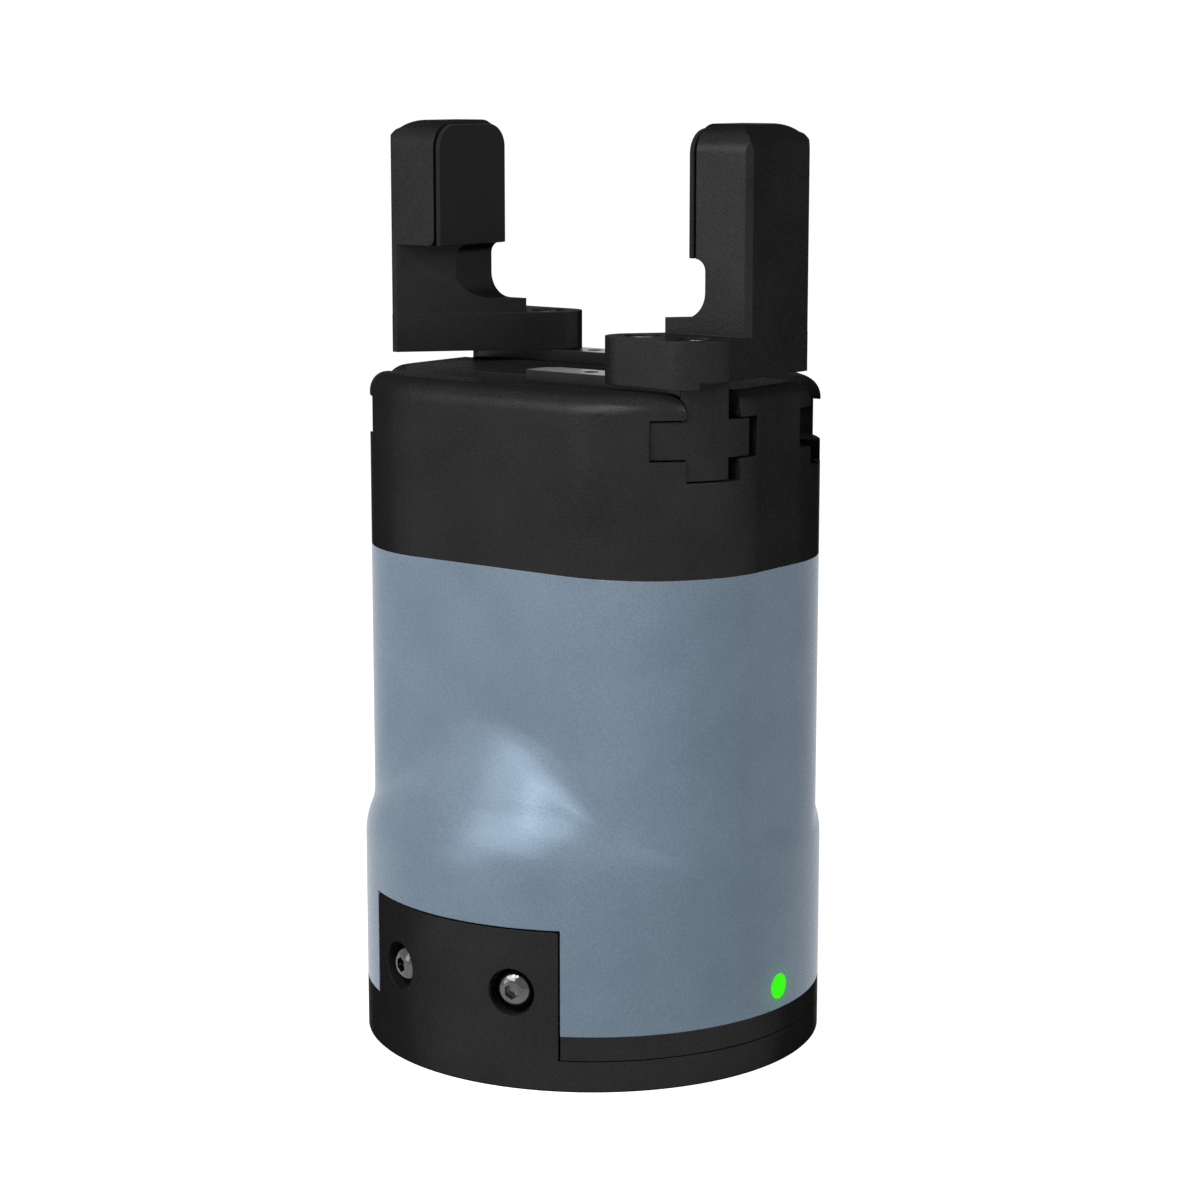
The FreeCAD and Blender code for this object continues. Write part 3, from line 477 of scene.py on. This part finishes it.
def half_turn(obj):
    """A copy turned by 180 degrees about Z."""
    twin = bpy.data.objects.new("shape", obj.data.copy())
    twin.data.transform(HALF_TURN)
    bpy.context.scene.collection.objects.link(twin)
    return twin


def whole_faces(bm):
    """Welds the corners and makes one face of each flat side."""
    bmesh.ops.remove_doubles(bm, verts=bm.verts[:], dist=1e-3)
    bmesh.ops.dissolve_limit(bm, angle_limit=math.radians(0.6), verts=bm.verts[:], edges=bm.edges[:],
                             use_dissolve_boundaries=False)


def packed(node):
    """Welded copy of a CAD node in millimetres."""
    bm = bmesh.new()
    bm.from_mesh(frame["nodes"][node].data)
    bmesh.ops.scale(bm, vec=(1 / MM,) * 3, verts=bm.verts[:])
    whole_faces(bm)
    return bm


def flattened(obj):
    """Makes the flat sides whole again after booleans."""
    bm = bmesh.new()
    bm.from_mesh(obj.data)
    whole_faces(bm)
    bm.to_mesh(obj.data)
    bm.free()
    return obj


def eased(obj, width):
    """Rounds every sharp edge."""
    step = obj.modifiers.new("ease", "BEVEL")
    step.width = width
    step.segments = 2
    step.limit_method = "ANGLE"
    step.angle_limit = math.radians(SHARP_DEG)
    step.use_clamp_overlap = True
    step.miter_outer = "MITER_ARC"
    return baked(obj)


def edged(obj, width, segments, wanted):
    """Rounds the sharp edges for which wanted(middle of the edge) holds."""
    bm = bmesh.new()
    bm.from_mesh(obj.data)
    sharp = [e for e in bm.edges if len(e.link_faces) == 2 and e.calc_face_angle() > math.radians(SHARP_DEG)
             and wanted((e.verts[0].co + e.verts[1].co) / 2)]
    bmesh.ops.bevel(bm, geom=sharp, offset=width, offset_type="OFFSET", segments=segments, profile=0.5,
                    affect="EDGES", material=-1, clamp_overlap=True, miter_outer="ARC")
    bm.to_mesh(obj.data)
    bm.free()
    return obj


def show(obj, name, finish, body, stands_for):
    """Names a finished shape, scales it to metres, paints it and puts it on its body."""
    obj.name = name
    obj.data.name = name
    obj.data.transform(Matrix.Scale(MM, 4))
    obj.data.materials.clear()
    obj.data.materials.append(finishes[finish])
    obj.data.polygons.foreach_set("use_smooth", [True] * len(obj.data.polygons))
    obj.data.set_sharp_from_angle(angle=math.radians(SMOOTH_DEG))
    level = obj.modifiers.new("even_shading", "WEIGHTED_NORMAL")
    level.keep_sharp = True
    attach(obj, body)
    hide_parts(*stands_for)


# ---------------------------------------------------------------- sleeve

def smooth_step(t):
    return t * t * (3 - 2 * t)


def shoulder_radius(z):
    """Smooth curve through the shoulder's points."""
    points = SHOULDER
    if z <= points[0][1]:
        return points[0][0]
    slopes = [(b[0] - a[0]) / (b[1] - a[1]) for a, b in zip(points, points[1:])]
    bends = [0.0] + [(a + b) / 2 for a, b in zip(slopes, slopes[1:])] + [slopes[-1]]
    for i, ((r0, z0), (r1, z1)) in enumerate(zip(points, points[1:])):
        if z <= z1:
            span = z1 - z0
            t = (z - z0) / span
            return (r0 * (1 + 2 * t) * (1 - t) ** 2 + bends[i] * span * t * (1 - t) ** 2
                    + r1 * smooth_step(t) + bends[i + 1] * span * t * t * (t - 1))
    return points[-1][0] + slopes[-1] * (z - points[-1][1])


def body_radius(angle):
    """Distance from the axis to the rounded-rectangle outline in one direction."""
    c = abs(math.cos(angle))
    s = abs(math.sin(angle))
    mx = BODY_X - BODY_CORNER
    my = BODY_Y - BODY_CORNER
    if c > 1e-9 and BODY_X * s / c <= my:
        return BODY_X / c
    if s > 1e-9 and BODY_Y * c / s <= mx:
        return BODY_Y / s
    along = c * mx + s * my
    return along + math.sqrt(along * along - mx * mx - my * my + BODY_CORNER * BODY_CORNER)


def blended(a, b, reach):
    """The larger of two radii, with a soft hollow where they cross."""
    near = max(reach - abs(a - b), 0.0) / reach
    return max(a, b) + near * near * reach / 4


def reach_at(z):
    """How far the hollow spreads: nothing at the foot of the shoulder, full above it."""
    t = min(max((z - HOLLOW_Z[0]) / (HOLLOW_Z[1] - HOLLOW_Z[0]), 0.0), 1.0)
    return 0.02 + HOLLOW * smooth_step(t)


# Heights of the sleeve's rings, close together along the shoulder
levels = [SLEEVE_Z0, SLEEVE_Z0 + 4, 20.0, 26.0, 32.0, 36.0]
levels += [37.0 + 0.75 * i for i in range(51)]
levels += [77.0, 82.0, 88.0, 93.0, SEAM_Z]
bm = bmesh.new()
ring = [bm.verts.new((BASE_R, 0, z)) for z in levels]
line = [bm.edges.new(pair) for pair in zip(ring, ring[1:])]
spun(bm, ring + line, SLEEVE_STEPS)
for v in bm.verts:
    turn = math.atan2(v.co.y, v.co.x)
    r = blended(body_radius(turn), shoulder_radius(v.co.z), reach_at(v.co.z))
    if v.co.z <= SHOULDER[0][1]:
        r = BASE_R
    v.co.x = r * math.cos(turn)
    v.co.y = r * math.sin(turn)
bmesh.ops.recalc_face_normals(bm, faces=bm.faces[:])
bmesh.ops.solidify(bm, geom=bm.faces[:], thickness=WALL)
sleeve = solid(bm)

# Windows for the two tabs, then the holes for the light and the socket
windows = []
reach = math.radians(TAB_HALF + TAB_PLAY)
for sign in (-1, 1):
    corners = [(r * math.sin(a), sign * r * math.cos(a), 0) for r, a in
               ((36, -reach), (FAR, -reach), (FAR, reach), (36, reach))]
    windows.append(plan(corners, 5, TAB_TOP + GAP))
combine(sleeve, windows)
edged(sleeve, 0.35, 3, lambda p: p.z < SEAM_Z - 1 and Vector((p.x, p.y)).length > BASE_R - 1)
combine(sleeve, [aimed(drum(0, 10, LIGHT_R), (38, 0, LIGHT_Z), ALONG_X),
                 aimed(drum(0, 14, SOCKET_R), (-50, 0, SOCKET_Z), ALONG_X)])
show(sleeve, "sleeve", "blue_coat", "housing", ["housing_sleeve"])

# ---------------------------------------------------------------- flange, base ring and pads

for node, name, finish, body, width in (
        ("flange_adapter", "flange", "black_anodised", "housing", 0.3),
        ("base_plate", "base_ring", "black_anodised", "housing", 0.25),
        ("right_grip_pad", "pad_right", "pad_rubber", "right_jaw", 0.25),
        ("left_grip_pad", "pad_left", "pad_rubber", "left_jaw", 0.25)):
    piece = solid(packed(node))
    if name.startswith("pad"):
        piece.data.transform(Matrix.Diagonal((1, FINGER_WIDER, 1, 1)))
    show(eased(piece, width), name, finish, body, [node])

# ---------------------------------------------------------------- guide cap

cap = edged(body_prism(0, SEAM_Z, CAP_Z1), CAP_RIM, 12, lambda p: p.z > CAP_Z1 - 0.01)

# One jaw's ways: the cross through the walls, its rounded mouths, the rack's way and the rails' pockets
y0, y1 = SLOT_NECK
way_z = (ARM_Z0 - SLOT_PLAY, ARM_TOP + SLOT_PLAY)
way = cross(SLOT_NECK, SLOT_ARMS, SLIDER_Z0 - SLOT_PLAY, way_z, CAP_Z1 + MOUTH_MARGIN, SLOT_CORNER)
ways = [along_x(plan(way, -FAR, FAR))]
lip_z = CAP_Z1 + 0.01
mouth = [(y0, lip_z - MOUTH_MARGIN, 0), (y1, lip_z - MOUTH_MARGIN, 0), (y1, lip_z, SLOT_LIP_R),
         (y1 + MOUTH_MARGIN, lip_z, 0), (y1 + MOUTH_MARGIN, lip_z + MOUTH_MARGIN, 0),
         (y0 - MOUTH_MARGIN, lip_z + MOUTH_MARGIN, 0), (y0 - MOUTH_MARGIN, lip_z, 0), (y0, lip_z, SLOT_LIP_R)]
for x in (MOUTH_X, -FAR):
    ways.append(along_x(plan(mouth, x, x + MOUTH_LENGTH)))
ways.append(block(-RACK_WAY_X, RACK_WAY_X, y0, RACK_WAY_Y, CAP_CAVITY - 1, SLIDER_Z0))
for y0, y1 in RAILS:
    ways.append(block(-RAIL_X, RAIL_X, y0, y1, ARM_Z0 + 0.4, ARM_TOP - 0.5))
ways += [half_turn(way) for way in ways]
combine(cap, ways + [body_prism(WALL, SEAM_Z - 1, CAP_CAVITY), drum(CAP_CAVITY - 1, BEARING_TOP, BEARING_R)])

spots = [Vector((x, y, 0)) for x, y in POSTS]
combine(cap, [aimed(drum(POST_Z[0], CAP_CAVITY + 0.2, POST_R), spot, UP) for spot in spots], "UNION")
combine(cap, [aimed(drum(POST_Z[0] - 1, POST_Z[1], POST_BORE_R), spot, UP) for spot in spots])
edged(cap, 0.3, 2, lambda p: p.z > CAP_CAVITY + 0.5)
show(cap, "cap", "black_anodised", "housing", ["guide_cap"])

# ---------------------------------------------------------------- jaws

for side, sign in (("right", 1), ("left", -1)):
    body = side + "_jaw"

    # Cross-shaped end of the slide, on two studs
    end = along_x(plan(cross(END_NECK, END_ARMS, SLIDER_Z0, (ARM_Z0, ARM_TOP), SLIDER_Z1), END_X0, FAR))
    combine(end, [body_prism(END_RECESS, SLIDER_Z0 - 1, SLIDER_Z1 + 1)], "INTERSECT")
    combine(end, [body_prism(END_RECESS + END_T, SLIDER_Z0 - 2, SLIDER_Z1 + 2)])
    studs = [aimed(drum(0, STUD_LENGTH, STUD_R, 32), (STUD_X, -JAW_Y, SLIDER_Z0 + z), ALONG_X)
             for z in STUD_HEIGHTS]
    combine(end, studs, "UNION")
    eased(flattened(end), 0.2)

    # Finger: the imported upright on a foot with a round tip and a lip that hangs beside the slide
    bm = packed("right_finger")
    low = bmesh.ops.bisect_plane(bm, geom=bm.verts[:] + bm.edges[:] + bm.faces[:], dist=1e-4,
                                 plane_co=(0, 0, FOOT_Z1 + UPRIGHT_CUT), plane_no=UP, clear_inner=True)
    rim = [e for e in low["geom_cut"] if isinstance(e, bmesh.types.BMEdge)]
    made = bmesh.ops.extrude_edge_only(bm, edges=rim)
    feet = [v for v in made["geom"] if isinstance(v, bmesh.types.BMVert)]
    bmesh.ops.translate(bm, verts=feet, vec=(0, 0, -1))
    bmesh.ops.holes_fill(bm, edges=[e for e in made["geom"] if isinstance(e, bmesh.types.BMEdge)], sides=0)
    bmesh.ops.scale(bm, vec=(1, FINGER_WIDER, 1), verts=bm.verts[:])
    outer = [v for v in bm.verts if v.co.x > FOOT_BACK_X + 0.3]
    bmesh.ops.translate(bm, vec=(FINGER_OUT, 0, 0), verts=outer)
    finger = solid(bm)
    foot = [(FINGER_X, FINGER_HALF - FINGER_EDGE, 0), (FINGER_X - FINGER_EDGE, FINGER_HALF, 0),
            (FOOT_BACK_X, FINGER_HALF, 0), (FOOT_TIP_X, FOOT_Y, FOOT_TIP_R), (FINGER_X, FOOT_Y, FOOT_CORNER)]
    lip = plan(foot, SLIDER_Z1 - LIP_DROP, SLIDER_Z1 + 0.5, 24)
    combine(lip, [block(0, FAR, LIP_Y, FAR, SLIDER_Z0, FOOT_Z1)])
    combine(finger, [plan(foot, SLIDER_Z1, FOOT_Z1, 24), lip], "UNION")
    holes = []
    for x in FINGER_SCREWS:
        spot = (x, -JAW_Y, 0)
        holes.append(aimed(drum(FOOT_Z1 - COUNTERBORE_DEPTH, FOOT_Z1 + 1.5, COUNTERBORE_R), spot, UP))
        holes.append(aimed(drum(SLIDER_Z1 - 1, FOOT_Z1, FINGER_SCREW_R), spot, UP))
    holes.append(aimed(drum(SLIDER_Z1 - 1, SLIDER_Z1 + DOWEL_DEPTH, DOWEL_R), (FINGER_DOWEL, -JAW_Y, 0), UP))
    combine(finger, holes)
    eased(flattened(finger), 0.4)

    if sign < 0:
        for piece in (end, finger):
            piece.data.transform(HALF_TURN)
    show(end, "slide_end_" + side, "black_anodised", body, [side + "_slide_end_cap", side + "_end_cap_pins"])
    show(finger, "finger_" + side, "finger_black", body, [side + "_finger"])

    # Slide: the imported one, cut to the end's inner face, with the upper edge of its near end rounded
    slide = solid(packed(side + "_slider"))
    combine(slide, [body_prism(END_RECESS + END_T, SLIDER_Z0 - 1, SLIDER_Z1 + 1)], "INTERSECT")
    corner = Vector((sign * SLIDER_X0, sign * (NECK_HALF - JAW_Y)))
    edged(slide, SLIDE_CORNER, 8, lambda p: (p.xy - corner).length < 0.1 and p.z > ARM_TOP)
    show(eased(slide, 0.25), "slide_" + side, "slide_steel", body, [side + "_slider"])

# ---------------------------------------------------------------- side screws

dome = []
for i in range(DOME_POINTS):
    t = math.radians(DOME_EDGE_DEG - DOME_STEP_DEG * i)
    dome.append((DOME_R * math.sin(t), DOME_Z + DOME_R * math.cos(t)))
profile = [(0, -SHANK_DEPTH), (SHANK_R, -SHANK_DEPTH), (SHANK_R, 0), (HEAD_R - 0.2, 0), (HEAD_R, 0.2)]
profile += dome + [(0, HEAD_H)]
hexagon = []
for i in range(6):
    a = math.radians(60 * i + 90)
    hexagon.append((HEX_R * math.cos(a), HEX_R * math.sin(a), 0))
screws = []
for sign in (-1, 1):
    for turn in (-SCREW_DEG, SCREW_DEG):
        head = lathe(profile, 96)
        combine(head, [plan(hexagon, HEX_Z0, 4), lathe([(0, 0.5), (HEX_R - 0.25, HEX_Z0), (0, 0.95)], 48)])
        a = math.radians(turn)
        out = Vector((math.sin(a), sign * math.cos(a), 0))
        screws.append(aimed(head, out * SEAT_R + Vector((0, 0, SCREW_Z)), out))
show(combine(screws[0], screws[1:], "UNION"), "side_screws", "zinc_screw", "housing", ["flange_side_screws"])

# ---------------------------------------------------------------- stage

def direction(azimuth, elevation):
    """From the object towards a viewer, by degrees round from the front and up from level."""
    a = math.radians(azimuth)
    e = math.radians(elevation)
    return Vector((math.sin(a) * math.cos(e), -math.cos(a) * math.cos(e), math.sin(e)))


def placed(name, data, target, away, back):
    """Puts a lamp or a camera at a distance from a target, looking at it."""
    made = bpy.data.objects.new(name, data)
    made.location = target + back * away
    made.rotation_mode = "QUATERNION"
    made.rotation_quaternion = (-back).to_track_quat("-Z", "Y")
    bpy.context.scene.collection.objects.link(made)
    return made


def lamp(name, azimuth, elevation, away, width, height, watts):
    data = bpy.data.lights.new(name, "AREA")
    data.shape = "RECTANGLE"
    data.size = width
    data.size_y = height
    data.energy = watts
    placed(name, data, Vector((0, 0, 0.09)), away, direction(azimuth, elevation))


lamp("key", -12, 29, 0.4, 0.3, 0.15, 1.05)
lamp("low_fill", -28, 8, 0.7, 0.22, 0.22, 0.45)
lamp("side", 86, 32, 0.7, 0.22, 0.22, 2.2)
lamp("high_front", -3, 44, 0.7, 0.06, 0.06, 1.0)
lamp("glint", 18, 42, 0.6, 0.04, 0.04, 0.5)


def seen(tree):
    """1 for rays that should meet the white background, 0 for those that light the object."""
    rays = tree.nodes.new("ShaderNodeLightPath")
    camera_rays, through, glossy = (Wire(tree, rays.outputs[name]) for name in
                                    ("Is Camera Ray", "Is Transmission Ray", "Is Glossy Ray"))
    top = camera_rays.sum("MAXIMUM", camera_rays, through)
    return top.sum("MAXIMUM", top, glossy)


AMBIENT = 0.04
world = bpy.data.worlds.new("studio")
world.use_nodes = True
bpy.context.scene.world = world
sky = world.node_tree.nodes["Background"]
sky.inputs["Color"].default_value = (1, 1, 1, 1)
strength = seen(world.node_tree) * (1 - AMBIENT) + AMBIENT
world.node_tree.links.new(strength.socket, sky.inputs["Strength"])

# White floor that keeps the object's shadow, its glow a little less bright near the object as painted shade
# that deepens the shadow there
bm = bmesh.new()
bmesh.ops.create_grid(bm, x_segments=2, y_segments=2, size=20.0)
floor_mesh = bpy.data.meshes.new("floor")
bm.to_mesh(floor_mesh)
bm.free()
floor = bpy.data.objects.new("floor", floor_mesh)
bpy.context.scene.collection.objects.link(floor)
floor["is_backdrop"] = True
white = bpy.data.materials.new("floor_white")
white.use_nodes = True
tree = white.node_tree
tree.nodes.remove(tree.nodes["Principled BSDF"])
place = Wire(tree, tree.nodes.new("ShaderNodeTexCoord").outputs["Object"])
diffuse = place.node("ShaderNodeBsdfDiffuse", {}, {"Color": (0.55, 0.55, 0.55, 1)})
# painted shade: the floor's glow is dimmer within 0.1 to 0.5 m of the object
away = place.node("ShaderNodeVectorMath", {"operation": "LENGTH"}, {0: place}, 1).between(0.1, 0.5)
glow = place.node("ShaderNodeEmission", {}, {"Color": (1, 1, 1, 1),
                                             "Strength": seen(tree) * (away * 0.07 + 0.93)})
both = place.node("ShaderNodeAddShader", {}, {0: diffuse, 1: glow})
tree.links.new(both.socket, tree.nodes["Material Output"].inputs["Surface"])
floor.data.materials.append(white)

# Camera as fitted to the picture: it looks at a point on the axis that shows at the middle row
PICTURE = 1181.0
AXIS_COLUMN = 592.95
FOCAL_PX = 2917.31
SENSOR = 36.0
TARGET_Z = 0.08715
CAMERA_AWAY = 0.5727
eye = bpy.data.cameras.new("camera")
eye.sensor_fit = "HORIZONTAL"
eye.sensor_width = SENSOR
eye.lens = FOCAL_PX / PICTURE * SENSOR
eye.shift_x = -(AXIS_COLUMN - PICTURE / 2) / PICTURE
eye.clip_start = 0.01
eye.clip_end = 100.0
bpy.context.scene.camera = placed("camera", eye, Vector((0, 0, TARGET_Z)), CAMERA_AWAY,
                                  direction(37.76, 10.09))
bpy.context.scene.view_settings.view_transform = "Standard"

low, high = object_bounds()
